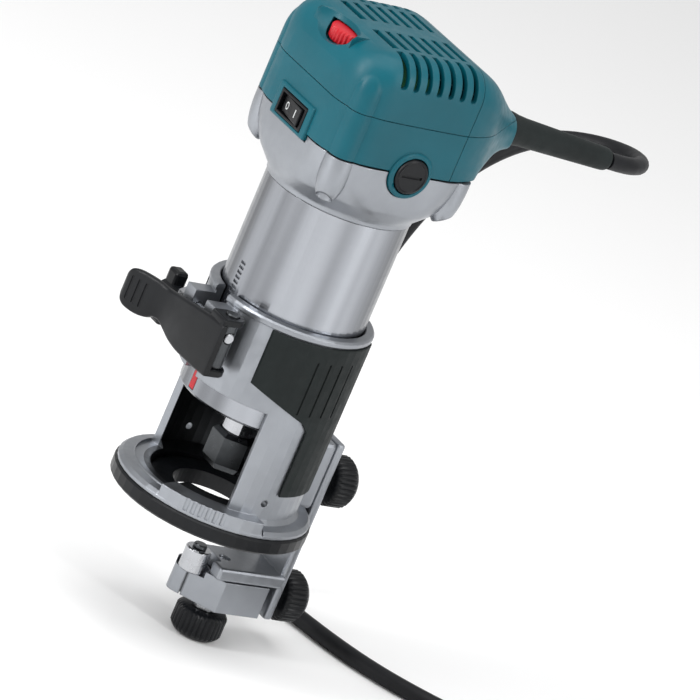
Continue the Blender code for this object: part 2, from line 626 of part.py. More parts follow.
def make_controls():
    dial = turned("speed_dial", [
        (2.5, 222.6), (DIAL_R - 0.9, 222.6), (DIAL_R, 221.8), (DIAL_R, 216.6),
        (DIAL_R - 0.9, 215.8), (2.5, 215.8),
    ], RED, (0, DIAL_Y, 0), steps=32)
    hinge_point("dial axis", (0, DIAL_Y, 219), [dial])

    frame = box("switch_frame", (-10.6, -40.9, 177.5), (10.6, -30.0, 188.3), BLACK, 0.5)
    cut(frame, box("rocker room", (-9.2, -50, 178.7), (9.2, -31.5, 187.1), None))
    rocker = plate("power_switch", [(-8.3, -39.4), (0, -40.6), (8.3, -41.9), (8.3, -37.2), (0, -33.5),
                                    (-8.3, -37.2)], 179.1, 186.7, BLACK, bevel=0.4)
    hinge_point("rocker axis", (0, -36.5, 183), [rocker])

    for sign, tag in ((1, "right"), (-1, "left")):
        cap = turned(f"brush_cap_{tag}", [
            (0, 40.9), (6.4, 40.9), (7.0, 41.3), (7.6, 41.0), (7.9, 40.4), (7.9, 36.0), (0, 36.0),
        ], BLACK, (0, 0, BRUSH_Z), "X", 28)
        slot = box(f"cap slot {tag}", (40.2, -5.2, 177.9), (42, 5.2, 179.1), None)
        holder = ring(f"brush_holder_{tag}", 3.6, 5.4, 16.0, 35.6, BRASS, (0, 0, BRUSH_Z), "X", 24)
        brush = rod(f"carbon_brush_{tag}", 3.2, 12.4, 33.0, CARBON, (0, 0, BRUSH_Z), "X", 16)
        if sign < 0:
            for piece in (cap, holder, brush):
                piece.rotation_euler = (0, radians(-90), 0)
            slot.location.x = -slot.location.x
        cut(cap, slot)
        smooth(cap)


def make_motor():
    field = ring("field_core", 20.0, 29.8, 82.0, 128.0, DARK_STEEL, steps=24)
    armature = ring("armature_core", SPINDLE_R + 0.3, 18.8, 84.0, 126.0, COPPER, steps=20)
    commutator = ring("commutator", SPINDLE_R + 0.3, 12.0, 168.0, 186.0, COPPER, steps=24)
    fan = turned("cooling_fan", [
        (SPINDLE_R + 0.3, 76.0), (12.0, 76.0), (26.0, 72.5), (26.0, 66.0), (SPINDLE_R + 0.3, 66.0),
    ], BLACK, steps=20)
    ring("lower_bearing", SPINDLE_R + GAP, 13.6, 50.2, 59.0, STEEL, steps=24)
    ring("upper_bearing", SPINDLE_R + GAP, 11.0, 189.5, 197.5, STEEL, steps=20)
    spindle = turned("spindle", [
        (0, 198.0), (SPINDLE_R, 198.0), (SPINDLE_R, 29.5), (4.4, 28.3), (4.4, 26.0), (0, 26.0),
    ], STEEL, steps=24)
    sleeve = turned("spindle_sleeve", [
        (SPINDLE_R + GAP, 49.0), (7.6, 49.0), (7.6, 36.0), (SPINDLE_R + GAP, 36.0),
    ], STEEL, steps=24)
    collet = ring("collet", 3.2, 4.3, 19.1, 25.7, STEEL, steps=24)
    nut = turned("collet_nut", [
        (5.2, 35.4), (8.6, 35.4), (10.7, 33.6), (10.7, 21.5), (8.7, 18.7), (5.2, 18.7),
    ], DARK_STEEL, steps=6)
    cut(nut, rod("nut bore", SPINDLE_R + GAP, 25.9, 40, None, steps=32))
    for piece in (spindle, field, armature):
        smooth(piece)
    hinge_point("spindle axis", (0, 0, 0), [armature, commutator, fan, spindle, sleeve, collet, nut])
    box("speed_controller", (-22, -8, 204), (22, 16, 210), BOARD, 0.6)


# ---------------------------------------------------------------- mains cord

def curve_points(route, steps):
    """A smooth Catmull-Rom line through the route's points."""
    ends = [2 * Vector(route[0]) - Vector(route[1]), 2 * Vector(route[-1]) - Vector(route[-2])]
    p = [ends[0]] + [Vector(q) for q in route] + [ends[1]]
    line = []
    for i in range(1, len(p) - 2):
        for k in range(steps):
            t = k / steps
            line.append(0.5 * ((2 * p[i]) + (p[i + 1] - p[i - 1]) * t
                               + (2 * p[i - 1] - 5 * p[i] + 4 * p[i + 1] - p[i + 2]) * t * t
                               + (3 * p[i] - p[i - 1] - 3 * p[i + 1] + p[i + 2]) * t ** 3))
    return line + [p[-2]]


def make_cord():
    guard = turned("cord_guard", [
        (0, 58.0), (4.9, 58.0), (5.2, 57.0), (6.3, 8.0), (7.4, 0.0), (7.4, -1.0), (5.0, -1.0),
        (5.0, -8.0), (0, -8.0),
    ], RUBBER, (0, 68.4, 193.4), "Y", 24)
    guard.rotation_euler = (radians(-95.7), 0, 0)
    smooth(guard)
    curve = bpy.data.curves.new("cord_lead", "CURVE")
    curve.dimensions = "3D"
    curve.bevel_depth = CORD_R * MM
    curve.bevel_resolution = 2
    curve.use_fill_caps = True
    line = curve.splines.new("POLY")
    points = curve_points(CORD_ROUTE, 2)
    line.points.add(len(points) - 1)
    for spot, p in zip(line.points, points):
        spot.co = (*(p * MM), 1)
    curve.materials.append(RUBBER)
    lead = bpy.data.objects.new("cord_lead", curve)
    PARTS.objects.link(lead)
    w, h = COIL_HALF
    x, y, z = PLUG_X, PLUG_Y, PLUG_Z
    plug = box("plug_body", (x - 11.5, y - 18, FLOOR + 0.3), (x + 11.5, y + 18, FLOOR + 17.5), RUBBER, 4.0)
    join(plug, rod("plug tail", 4.2, y + 10, y + 29.2, None, (x, 0, z), "Y", 16))
    for k, dx in enumerate((-7.5, 7.5)):
        rod(f"plug_pin_{k + 1}", 2.0, y - 37, y - 18.3, BRASS, (x + dx, 0, z), "Y", 12, 0.8)
    turned("cord_coil", [
        (COIL_MEAN_R - w + 3, h), (COIL_MEAN_R + w - 3, h), (COIL_MEAN_R + w, h - 3),
        (COIL_MEAN_R + w, 3 - h), (COIL_MEAN_R + w - 3, -h), (COIL_MEAN_R - w + 3, -h),
        (COIL_MEAN_R - w, 3 - h), (COIL_MEAN_R - w, h - 3),
    ], RUBBER, (*COIL_XY, FLOOR + h + 0.3), steps=24)


make_base()
make_grips()
make_clamp()
make_guide()
make_motor_tube()
make_collar()
make_housing()
make_controls()
make_motor()
make_cord()
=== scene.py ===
"""Looks of the trim router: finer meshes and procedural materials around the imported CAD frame.

Lengths are millimetres unless a comment says metres, and MM turns them into metres. The Z
axis is the spindle's and points up, the front faces -Y, and the origin is the middle of the
sole.
"""
import json
from math import cos, pi, radians, sin

import bmesh
import bpy
from mathutils import Matrix, Vector
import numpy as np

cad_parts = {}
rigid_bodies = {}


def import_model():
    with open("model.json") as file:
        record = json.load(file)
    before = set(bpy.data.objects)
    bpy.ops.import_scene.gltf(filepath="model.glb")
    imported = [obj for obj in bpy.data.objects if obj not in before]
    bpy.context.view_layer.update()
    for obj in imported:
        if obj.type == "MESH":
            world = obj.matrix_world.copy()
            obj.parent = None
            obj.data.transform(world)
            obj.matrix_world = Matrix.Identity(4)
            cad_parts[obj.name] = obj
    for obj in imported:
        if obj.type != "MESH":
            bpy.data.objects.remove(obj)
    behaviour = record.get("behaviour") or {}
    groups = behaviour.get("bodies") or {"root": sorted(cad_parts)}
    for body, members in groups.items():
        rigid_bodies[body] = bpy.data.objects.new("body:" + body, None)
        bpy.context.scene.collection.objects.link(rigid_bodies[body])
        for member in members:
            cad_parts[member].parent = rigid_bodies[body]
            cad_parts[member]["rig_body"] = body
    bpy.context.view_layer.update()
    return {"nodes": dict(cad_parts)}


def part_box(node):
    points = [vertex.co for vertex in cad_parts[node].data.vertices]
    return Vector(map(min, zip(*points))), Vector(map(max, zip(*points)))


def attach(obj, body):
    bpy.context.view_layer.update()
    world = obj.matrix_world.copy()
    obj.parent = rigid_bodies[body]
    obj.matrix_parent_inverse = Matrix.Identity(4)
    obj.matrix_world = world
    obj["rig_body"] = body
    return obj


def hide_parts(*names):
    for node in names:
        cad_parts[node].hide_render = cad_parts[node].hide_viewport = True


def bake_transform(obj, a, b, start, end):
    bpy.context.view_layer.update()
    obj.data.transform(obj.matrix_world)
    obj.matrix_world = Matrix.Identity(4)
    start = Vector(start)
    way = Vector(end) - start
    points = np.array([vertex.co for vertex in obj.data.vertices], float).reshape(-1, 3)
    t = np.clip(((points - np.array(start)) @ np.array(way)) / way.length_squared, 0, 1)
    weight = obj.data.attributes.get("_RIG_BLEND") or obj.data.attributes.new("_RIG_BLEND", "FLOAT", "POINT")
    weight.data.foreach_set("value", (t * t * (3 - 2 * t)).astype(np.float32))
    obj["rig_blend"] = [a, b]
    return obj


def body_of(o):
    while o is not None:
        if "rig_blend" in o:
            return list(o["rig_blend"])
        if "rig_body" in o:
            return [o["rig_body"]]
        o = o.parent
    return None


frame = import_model()
NODES = frame["nodes"]
MM = 0.001
AXIS_R = 0.001             # radius that closes a turned profile on its axis

FLOOR = -61.5
CORD_R = 3.8
CORD_PITCH = 7.8           # spacing of the cord's turns
CORD_SIDES = 16
COIL_XY = (118.0, 104.0)
COIL_OUT = 50.9            # centreline radius of the coil's outer turn
COIL_START = 120.0         # degrees, where the lead joins the coil
COIL_JOINED = 30.0         # degrees of the outer turn that the end of the lead takes up
COIL_TURNS = 3.0417        # turns in each of its two layers
COIL_CLIMB = 90.0          # degrees taken to climb from the lower layer to the upper one
COIL_POINTS = 40           # points in each turn
COIL_LIFT = 0.1            # between the floor and the lower layer
CORD_ROUTE = [
    (0, 127.5, 187.3), (-0.6, 137.5, 186.2), (-5.2, 148.7, 184.9), (-13.7, 157.2, 183.4),
    (-25, 161.9, 181.6), (-37, 161.9, 179.3), (-48.2, 157.3, 176.5), (-56.8, 148.7, 173.0),
    (-61.4, 137.5, 168.6), (-62.4, 125.5, 162.3), (-62.4, 113.8, 153.6), (-62.4, 103.6, 142.4),
    (-62.3, 95.2, 129.0), (-62.2, 88.4, 113.0), (-62, 83.2, 94.5), (-62, 79.4, 72.0),
    (-62, 77.3, 45.0), (-62, 76.4, 12.0), (-61.8, 76.7, -16.0), (-59.4, 78.0, -35.5),
    (-52.6, 80.4, -47.8), (-42.2, 83.4, -55.0), (-29, 86.8, -57.6), (-13, 90.9, -57.6),
    (4, 96.0, -57.6), (21, 103.0, -57.6), (37.5, 113.2, -57.6), (53, 126.0, -57.6),
    (68.8, 141.2, -57.6), (88, 156.2, -57.6),
]
PLUG_XY = (COIL_XY[0] + COIL_OUT, COIL_XY[1] - 60.0)
PLUG_Z = FLOOR + 9.0
SAG_TOP = CORD_ROUTE[12]   # above this point the cord rides with the motor
SAG_FOOT = CORD_ROUTE[18]  # below this point it stays with the base


def placed(name, data):
    """A new object in the scene that shows this data."""
    obj = bpy.data.objects.new(name, data)
    bpy.context.scene.collection.objects.link(obj)
    return obj


# ---------------------------------------------------------------- camera, floor and light

AZIMUTH = radians(51.5)
ELEVATION = radians(18.0)
ROLL = radians(23.3)
LOOK_AT = Vector((18.7, 23.6, 88.5)) * MM
DISTANCE = 3.0             # metres from the camera to what it looks at
SENSOR = 36.0
VIEW_SPAN = 0.2959         # metres across the picture at the object
CLIP_END = 30.0            # metres
FLOOR_HALF = 6.0           # metres


def view_axes(azimuth, elevation):
    """The right, up and back directions of something that looks in from these angles."""
    back = Vector((sin(azimuth) * cos(elevation), -cos(azimuth) * cos(elevation), sin(elevation)))
    right = Vector((cos(azimuth), sin(azimuth), 0))
    return right, back.cross(right), back


def look_from(obj, right, up, back, place):
    """Stand a camera or a lamp at a place, with its own axes along these directions."""
    obj.matrix_world = Matrix((
        (right.x, up.x, back.x, place.x),
        (right.y, up.y, back.y, place.y),
        (right.z, up.z, back.z, place.z),
        (0, 0, 0, 1),
    ))


def make_camera():
    """A long lens, rolled so that the upright tool leans across the picture."""
    camera = bpy.data.cameras.new("camera")
    camera.sensor_width = SENSOR
    camera.lens = SENSOR * DISTANCE / VIEW_SPAN
    camera.clip_end = CLIP_END
    obj = placed("camera", camera)
    right, up, back = view_axes(AZIMUTH, ELEVATION)
    rolled_right = cos(ROLL) * right + sin(ROLL) * up
    rolled_up = cos(ROLL) * up - sin(ROLL) * right
    look_from(obj, rolled_right, rolled_up, back, LOOK_AT + DISTANCE * back)
    bpy.context.scene.camera = obj


def softbox(name, azimuth, elevation, distance, width, height, power):
    """An area light aimed at the tool: angles in degrees round from the camera, sizes in metres."""
    lamp = bpy.data.lights.new(name, "AREA")
    lamp.shape = "RECTANGLE"
    lamp.size = width
    lamp.size_y = height
    lamp.energy = power
    obj = placed(name, lamp)
    right, up, back = view_axes(AZIMUTH + radians(azimuth), radians(elevation))
    look_from(obj, right, up, back, LOOK_AT + distance * back)


def make_studio():
    """A pale floor, a white world and three soft lights."""
    mesh = bpy.data.meshes.new("floor")
    half = FLOOR_HALF
    z = FLOOR * MM
    mesh.from_pydata([(-half, -half, z), (half, -half, z), (half, half, z), (-half, half, z)],
                     [], [(0, 1, 2, 3)])
    floor = placed("floor", mesh)
    paint = bpy.data.materials.new("floor paint")
    paint.use_nodes = True
    shader = paint.node_tree.nodes["Principled BSDF"]
    shader.inputs["Base Color"].default_value = (0.92, 0.92, 0.92, 1)
    shader.inputs["Roughness"].default_value = 0.9
    mesh.materials.append(paint)
    world = bpy.data.worlds.new("studio")
    world.use_nodes = True
    world.node_tree.nodes["Background"].inputs["Color"].default_value = (1, 1, 1, 1)
    world.node_tree.nodes["Background"].inputs["Strength"].default_value = 0.62
    bpy.context.scene.world = world
    softbox("key", -55, 30, 1.3, 0.22, 1.2, 12)
    softbox("fill", 62, 22, 1.5, 0.2, 1.2, 8)
    softbox("top", 10, 80, 1.5, 1.4, 1.4, 13)
    bpy.context.scene.view_settings.view_transform = "Standard"


make_camera()
make_studio()


# ---------------------------------------------------------------- materials

NOISE_LOW, NOISE_HIGH = 0.3, 0.7           # most of a noise texture lies between these
MIX_SHARE, MIX_FIRST, MIX_SECOND = 0, 6, 7     # inputs of a colour mix
MIX_COLOR = 2                              # its output
BORE_BLACK = (0.05, 0.053, 0.057, 1)
BORE_EDGE = (0.15, -0.05)                  # where its paint ends and where it is full


def node(tree, kind, **values):
    """A new node, each value a property of it or else the default of an input."""
    new = tree.nodes.new(kind)
    for key, value in values.items():
        if hasattr(new, key):
            setattr(new, key, value)
        else:
            new.inputs[key.replace("_", " ")].default_value = value
    return new


def noise(tree, coords, scale, detail):
    """The strength of a noise texture at these coordinates."""
    texture = node(tree, "ShaderNodeTexNoise", Scale=scale, Detail=detail)
    tree.links.new(coords, texture.inputs["Vector"])
    return texture.outputs["Fac"]


def ranged(tree, value, low, high):
    """A noise's strength stretched to run from low to high."""
    step = node(tree, "ShaderNodeMapRange")
    step.inputs["From Min"].default_value = NOISE_LOW
    step.inputs["From Max"].default_value = NOISE_HIGH
    step.inputs["To Min"].default_value = low
    step.inputs["To Max"].default_value = high
    tree.links.new(value, step.inputs["Value"])
    return step.outputs["Result"]


def blackened(tree, place, paint, radius):
    """Black paint over what lies within a radius of the Z axis, with a soft edge."""
    flat = node(tree, "ShaderNodeVectorMath", operation="MULTIPLY")
    flat.inputs[1].default_value = (1, 1, 0)
    tree.links.new(place, flat.inputs[0])
    reach = node(tree, "ShaderNodeVectorMath", operation="LENGTH")
    tree.links.new(flat.outputs["Vector"], reach.inputs[0])
    inside = node(tree, "ShaderNodeMapRange")
    inside.inputs["From Min"].default_value = (radius + BORE_EDGE[0]) * MM
    inside.inputs["From Max"].default_value = (radius + BORE_EDGE[1]) * MM
    tree.links.new(reach.outputs["Value"], inside.inputs["Value"])
    mix = node(tree, "ShaderNodeMix", data_type="RGBA")
    mix.inputs[MIX_SECOND].default_value = BORE_BLACK
    tree.links.new(inside.outputs["Result"], mix.inputs[MIX_SHARE])
    tree.links.new(paint, mix.inputs[MIX_FIRST])
    return mix.outputs[MIX_COLOR]


def surface(name, color, roughness, metallic=0.0, vary=0.10, patch=45.0, rough_vary=0.07,
            grain=2200.0, depth=0.02, stretch=(1, 1, 1), edge=0.35, painted_reflection_bands=None, bore=None,
            **fixed):
    """A moulded, cast or turned surface.

    Its colour and gloss drift over patches, a fine grain raises it, and edge is how far
    its sharp edges are worn round, in millimetres. stretch squeezes the grain into lines,
    painted_reflection_bands draws the colour patches out along Z into light and dark bands that
    paint the reflection of the lights, and bore blackens what lies within that radius.
    """
    mat = bpy.data.materials.new(name)
    mat.use_nodes = True
    tree = mat.node_tree
    shader = tree.nodes["Principled BSDF"]
    place = node(tree, "ShaderNodeTexCoord").outputs["Object"]
    squeeze = node(tree, "ShaderNodeMapping")
    squeeze.inputs["Scale"].default_value = stretch
    tree.links.new(place, squeeze.inputs["Vector"])
    lines = squeeze.outputs["Vector"]

    # Painted reflection: colour patches stretched along Z into light and dark vertical bands that stand in
    # for the lamps' reflections on the turned tube.
    if painted_reflection_bands:
        draw_out = node(tree, "ShaderNodeMapping")
        draw_out.inputs["Scale"].default_value = painted_reflection_bands
        tree.links.new(place, draw_out.inputs["Vector"])
        drift = noise(tree, draw_out.outputs["Vector"], patch, 2.0)
    else:
        drift = noise(tree, place, patch, 4.0)
    mix = node(tree, "ShaderNodeMix", data_type="RGBA")
    mix.inputs[MIX_FIRST].default_value = (*(c * (1 - vary) for c in color), 1)
    mix.inputs[MIX_SECOND].default_value = (*(min(1, c * (1 + vary)) for c in color), 1)
    tree.links.new(ranged(tree, drift, 0, 1), mix.inputs[MIX_SHARE])
    paint = mix.outputs[MIX_COLOR]
    if bore:
        paint = blackened(tree, place, paint, bore)
    tree.links.new(paint, shader.inputs["Base Color"])

    smudge = noise(tree, lines, patch * 5, 5.0)
    gloss = ranged(tree, smudge, roughness - rough_vary, roughness + rough_vary)
    tree.links.new(gloss, shader.inputs["Roughness"])

    grainy = noise(tree, lines, grain, 2.0)
    raise_it = node(tree, "ShaderNodeBump", Strength=1.0, Distance=depth * MM)
    tree.links.new(grainy, raise_it.inputs["Height"])
    if edge:
        worn = node(tree, "ShaderNodeBevel", samples=4, Radius=edge * MM)
        tree.links.new(worn.outputs["Normal"], raise_it.inputs["Normal"])
    tree.links.new(raise_it.outputs["Normal"], shader.inputs["Normal"])

    shader.inputs["Metallic"].default_value = metallic
    for key, value in fixed.items():
        shader.inputs[key.replace("_", " ")].default_value = value
    return mat


TEAL = surface("teal plastic", (0.0005, 0.083, 0.112), 0.4, vary=0.08, grain=2600, depth=0.018,
               edge=0.6, Specular_IOR_Level=0.28)
BLACK = surface("black plastic", (0.0045, 0.0052, 0.0065), 0.36, vary=0.3, grain=2400, depth=0.02,
                Specular_IOR_Level=0.24)
RUBBER = surface("charcoal rubber", (0.008, 0.0115, 0.0115), 0.6, vary=0.25, grain=2800, depth=0.05,
                 Specular_IOR_Level=0.22)
CORD = surface("cord rubber", (0.0055, 0.006, 0.0075), 0.48, vary=0.3, grain=1500, depth=0.03,
               Specular_IOR_Level=0.24)
RED = surface("red plastic", (0.46, 0.012, 0.02), 0.36, depth=0.01, Specular_IOR_Level=0.35)
CAST = surface("cast aluminium", (0.30, 0.315, 0.34), 0.36, 0.92, vary=0.07, grain=1700,
               depth=0.03, edge=0.6)
BASE_METAL = surface("base casting", (0.30, 0.315, 0.34), 0.36, 0.92, vary=0.07, grain=1700,
                     depth=0.03, edge=0.6, bore=33.0)
# The strong colour drift (vary 0.6), drawn out along Z, paints light and dark vertical bands on the tube: a
# painted reflection of the studio lights.
TURNED = surface("turned aluminium", (0.25, 0.26, 0.28), 0.2, 1.0, vary=0.6, patch=1.0,
                 rough_vary=0.05, grain=60, depth=0.012, stretch=(0.4, 0.4, 60), edge=0.4,
                 painted_reflection_bands=(52, 52, 0.6), Anisotropic=0.7)
STEEL = surface("bright steel", (0.45, 0.46, 0.48), 0.24, 1.0, vary=0.08, grain=900, depth=0.01)
DARK_STEEL = surface("dark steel", (0.08, 0.085, 0.09), 0.32, 1.0, vary=0.15, depth=0.012)
COPPER = surface("copper winding", (0.6, 0.24, 0.1), 0.32, 1.0, grain=120, depth=0.25,
                 stretch=(1, 1, 12), edge=0)
BRASS = surface("brass", (0.75, 0.53, 0.22), 0.25, 1.0, depth=0.01)
CARBON = surface("carbon", (0.02, 0.02, 0.021), 0.55, vary=0.3, depth=0.03)
BOARD = surface("circuit board", (0.02, 0.13, 0.05), 0.4, vary=0.3, patch=300, depth=0.03)
WHITE = surface("white marking", (0.6, 0.62, 0.62), 0.45, vary=0.03, depth=0.006, edge=0)

LOOKS = {
    "teal_plastic": TEAL, "black_plastic": BLACK, "charcoal_rubber": RUBBER,
    "cord_rubber": CORD, "red_plastic": RED, "cast_aluminium": CAST,
    "polished_aluminium": TURNED, "bright_steel": STEEL, "dark_steel": DARK_STEEL,
    "copper": COPPER, "brass": BRASS, "carbon": CARBON, "circuit_board": BOARD,
}


def slot_of(name):
    """The material slot that a CAD node was packed with."""
    return NODES[name].material_slots[0].material.name.split(".")[0]


def dress_nodes():
    """Give every CAD node the look of its slot; the base casting's bore is blackened."""
    for name, obj in NODES.items():
        look = BASE_METAL if name == "base_casting" else LOOKS[slot_of(name)]
        for spot in obj.material_slots:
            spot.material = look


# ---------------------------------------------------------------- mesh helpers

SHARP_ANGLE = radians(35)
BODY = {name: body_of(obj)[0] for name, obj in NODES.items()}
AXES = {
    "Z": Matrix.Identity(4),
    "X": Matrix.Rotation(radians(90), 4, "Y"),
    "Y": Matrix.Rotation(radians(-90), 4, "X"),
}


def shown(name, mesh, look, body, *nodes):
    """Put a finished mesh on a body, standing for these CAD nodes."""
    mesh.materials.append(look)
    mesh.shade_smooth()
    mesh.set_sharp_from_angle(angle=SHARP_ANGLE)
    obj = placed(name, mesh)
    if body:
        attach(obj, body)
    if nodes:
        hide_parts(*nodes)
    return obj


def skinned(name, rings, place=Matrix()):
    """A mesh skinned between rings of equal point count, its ends closed."""
    bm = bmesh.new()
    loops = [[bm.verts.new(place @ (Vector(p) * MM)) for p in ring] for ring in rings]
    for low, high in zip(loops, loops[1:]):
        for i in range(len(low)):
            j = (i + 1) % len(low)
            bm.faces.new((low[i], low[j], high[j], high[i]))
    for loop in (loops[0][::-1], loops[-1]):
        bm.faces.new(loop)
    bmesh.ops.remove_doubles(bm, verts=bm.verts, dist=1e-7)
    bmesh.ops.recalc_face_normals(bm, faces=bm.faces)
    mesh = bpy.data.meshes.new(name)
    bm.to_mesh(mesh)
    bm.free()
    return mesh


def lathed(profile, ribs=0, depth=0.0, steps=96, at=(0, 0, 0), axis="Z", name="lathed"):
    """Turn (radius, height, rib share) rows about an axis, with ribs pressed into the rim."""
    steps = ribs * 6 if ribs else steps
    rings = []
    for r, h, share in profile:
        ring = []
        for i in range(steps):
            angle = 2 * pi * i / steps
            groove = depth * share * (0.5 - 0.5 * cos(ribs * angle)) ** 2 if ribs else 0
            ring.append(((r - groove) * cos(angle), (r - groove) * sin(angle), h))
        rings.append(ring)
    return skinned(name, rings, Matrix.Translation(Vector(at) * MM) @ AXES[axis])


def disc(r, start, end):
    """Profile of a plain round disc or bore from one height to another."""
    return [(AXIS_R, start, 0), (r, start, 0), (r, end, 0), (AXIS_R, end, 0)]


def rounded(left, right, low, high, r, steps, foot=None):
    """Points round a rectangle with round corners, the lower two of radius foot if given."""
    foot = r if foot is None else foot
    places = ((right - foot, low + foot, -90, foot), (right - r, high - r, 0, r),
              (left + r, high - r, 90, r), (left + foot, low + foot, 180, foot))
    points = []
    for x, y, start, radius in places:
        for i in range(steps + 1):
            angle = radians(start + 90 * i / steps)
            points.append((x + radius * cos(angle), y + radius * sin(angle)))
    return points


def curve_points(points, steps):
    """A smooth cubic line from the first point to the last, drawn towards those between."""
    points = [Vector(p) for p in points]
    ends = [2 * points[0] - points[1]] + points + [2 * points[-1] - points[-2]]
    line = []
    for a, b, c, d in zip(ends, ends[1:], ends[2:], ends[3:]):
        for k in range(steps):
            t = k / steps
            line.append(((1 - t) ** 3 * a + (3 * t ** 3 - 6 * t ** 2 + 4) * b
                         + (-3 * t ** 3 + 3 * t ** 2 + 3 * t + 1) * c + t ** 3 * d) / 6)
    return line + [points[-1]]


def tube(name, points, r, sides):
    """A round mesh tube along a line, its rings turning as little as they can."""
    points = [Vector(p) for p in points]
    across = Vector((1, 0, 0))
    rings = []
    for k, p in enumerate(points):
        along = (points[min(k + 1, len(points) - 1)] - points[max(k - 1, 0)]).normalized()
        across = (across - across.dot(along) * along).normalized()
        other = along.cross(across)
        rings.append([p + r * (cos(2 * pi * i / sides) * across + sin(2 * pi * i / sides) * other)
                      for i in range(sides)])
    return skinned(name, rings)


# ---------------------------------------------------------------- cord

FINGER_GROOVES = 5
TAIL_RINGS = 4
GUARD_AT = (0, 68.4, 193.4)
GUARD_TILT = radians(-95.7)


def coil_line():
    """The coil's centreline: inwards on the floor, up one layer, outwards to the plug."""
    step = 360 / COIL_POINTS
    level = (FLOOR + CORD_R + COIL_LIFT, FLOOR + CORD_R + COIL_LIFT + CORD_PITCH)
    inner = COIL_OUT - CORD_PITCH * COIL_TURNS
    laid = 360 * COIL_TURNS
    points = []
    turned = COIL_JOINED
    while turned < 2 * laid + COIL_CLIMB - 1:
        if turned < laid:
            r = COIL_OUT - CORD_PITCH * turned / 360
            z = level[0]
        elif turned < laid + COIL_CLIMB:
            share = (turned - laid) / COIL_CLIMB
            r = inner
            z = level[0] + CORD_PITCH * (0.5 - 0.5 * cos(pi * share))
        else:
            r = inner + CORD_PITCH * (turned - laid - COIL_CLIMB) / 360
            z = level[1]
        angle = radians(COIL_START - turned)
        points.append((COIL_XY[0] + r * cos(angle), COIL_XY[1] + r * sin(angle), z))
        turned += step
    return points


def make_plug():
    """The moulded plug: a waisted body with finger grooves, and a ringed tail on the cord."""
    # each row is a place along the plug, half its width, half its height and its corner radius
    rows = [(-18.0, 10.4, 7.5, 3.6), (-17.3, 11.2, 8.3, 4.0), (-15.0, 11.5, 8.6, 4.2)]
    for k in range(FINGER_GROOVES):
        y = -9.0 + 2.8 * k
        half = 11.4 - 0.35 * k
        rows += [(y - 0.7, half, 8.5 - 0.2 * k, 4.2), (y - 0.4, half - 0.7, 8.4 - 0.2 * k, 4.2),
                 (y + 0.4, half - 0.7, 8.4 - 0.2 * k, 4.2), (y + 0.7, half, 8.5 - 0.2 * k, 4.2)]
    rows += [(8.0, 9.2, 7.2, 4.3), (12.0, 8.2, 6.8, 4.6), (15.5, 6.9, 6.2, 4.8),
             (18.0, 5.2, 5.2, 4.7)]
    for k in range(TAIL_RINGS):
        y = 18.8 + 2.6 * k
        rows += [(y, 4.3, 4.3, 4.2), (y + 1.5, 4.3, 4.3, 4.2), (y + 1.8, 3.9, 3.9, 3.85),
                 (y + 2.3, 3.9, 3.9, 3.85)]
    rings = []
    for dy, wide, tall, r in rows:
        outline = rounded(-wide, wide, -tall, tall, r, 8)
        rings.append([(PLUG_XY[0] + x, PLUG_XY[1] + dy, PLUG_Z + z) for x, z in outline])
    return shown("plug", skinned("plug", rings), CORD, "base", "plug_body")


def make_guard():
    """The cord guard: a tapered sleeve with a soft mouth, tilted with the housing's neck."""
    rows = [(AXIS_R, 57.9, 0), (4.2, 57.9, 0), (4.7, 57.6, 0), (4.95, 57.0, 0), (5.15, 55.8, 0),
            (5.3, 50, 0), (5.6, 38, 0), (5.95, 24, 0), (6.3, 9, 0), (6.7, 4, 0), (7.2, 1.2, 0),
            (7.35, 0.3, 0), (7.4, -0.9, 0), (5.0, -0.95, 0), (5.0, -7.9, 0), (AXIS_R, -7.9, 0)]
    mesh = lathed(rows, steps=64)
    mesh.transform(Matrix.Translation(Vector(GUARD_AT) * MM) @ Matrix.Rotation(GUARD_TILT, 4, "X"))
    shown("guard", mesh, RUBBER, "motor", "cord_guard")


def make_cord():
    """The whole cord as one tube: its lead, its coil and the rise to the plug."""
    x, y = PLUG_XY
    tail = [(x, COIL_XY[1] - 4, PLUG_Z + 2.4), (x, COIL_XY[1] - 16, PLUG_Z + 1.0),
            (x, y + 31, PLUG_Z), (x, y + 22, PLUG_Z)]
    points = curve_points(CORD_ROUTE + coil_line() + tail, 4)
    mesh = tube("cord", points, CORD_R, CORD_SIDES)
    obj = shown("cord", mesh, CORD, None, "cord_lead", "cord_coil")
    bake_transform(obj, "motor", "base", start=Vector(SAG_TOP) * MM, end=Vector(SAG_FOOT) * MM)
    make_plug()


# ---------------------------------------------------------------- knobs, dial and switch

KNOB_R = 11.6
KNOB_RIBS = 30
KNOB_RIB_DEPTH = 0.75
DIAL_HOLE_R = 2.5
DIAL_RIBS = 36
DIAL_RIB_DEPTH = 0.8
MARK_Z = 182.9
MARK_DEPTH = 0.12
RING_R = (1.25, 1.75)      # inside and outside of the off ring, along Z
RING_SQUEEZE = 0.72        # its width over its height
RING_STEPS = 32
BAR_HALF = (0.3, 1.8)      # half the width and height of the on bar


def knob_rows(face, back):
    """Profile of a ribbed knob between the heights of its outer face and its back."""
    out = 1 if face > back else -1
    return [
        (AXIS_R, face - 0.9 * out, 0), (2.6, face - 0.9 * out, 0), (3.3, face - 0.3 * out, 0),
        (7.6, face - 0.1 * out, 0), (8.3, face - 0.1 * out, 0), (9.6, face - 0.5 * out, 0),
        (10.6, face - 1.5 * out, 0.2), (KNOB_R, face - 2.8 * out, 1), (KNOB_R, back + 2.0 * out, 1),
        (10.8, back + 0.9 * out, 0.3), (9.8, back + 0.2 * out, 0), (5.0, back, 0),
        (AXIS_R, back, 0),
    ]


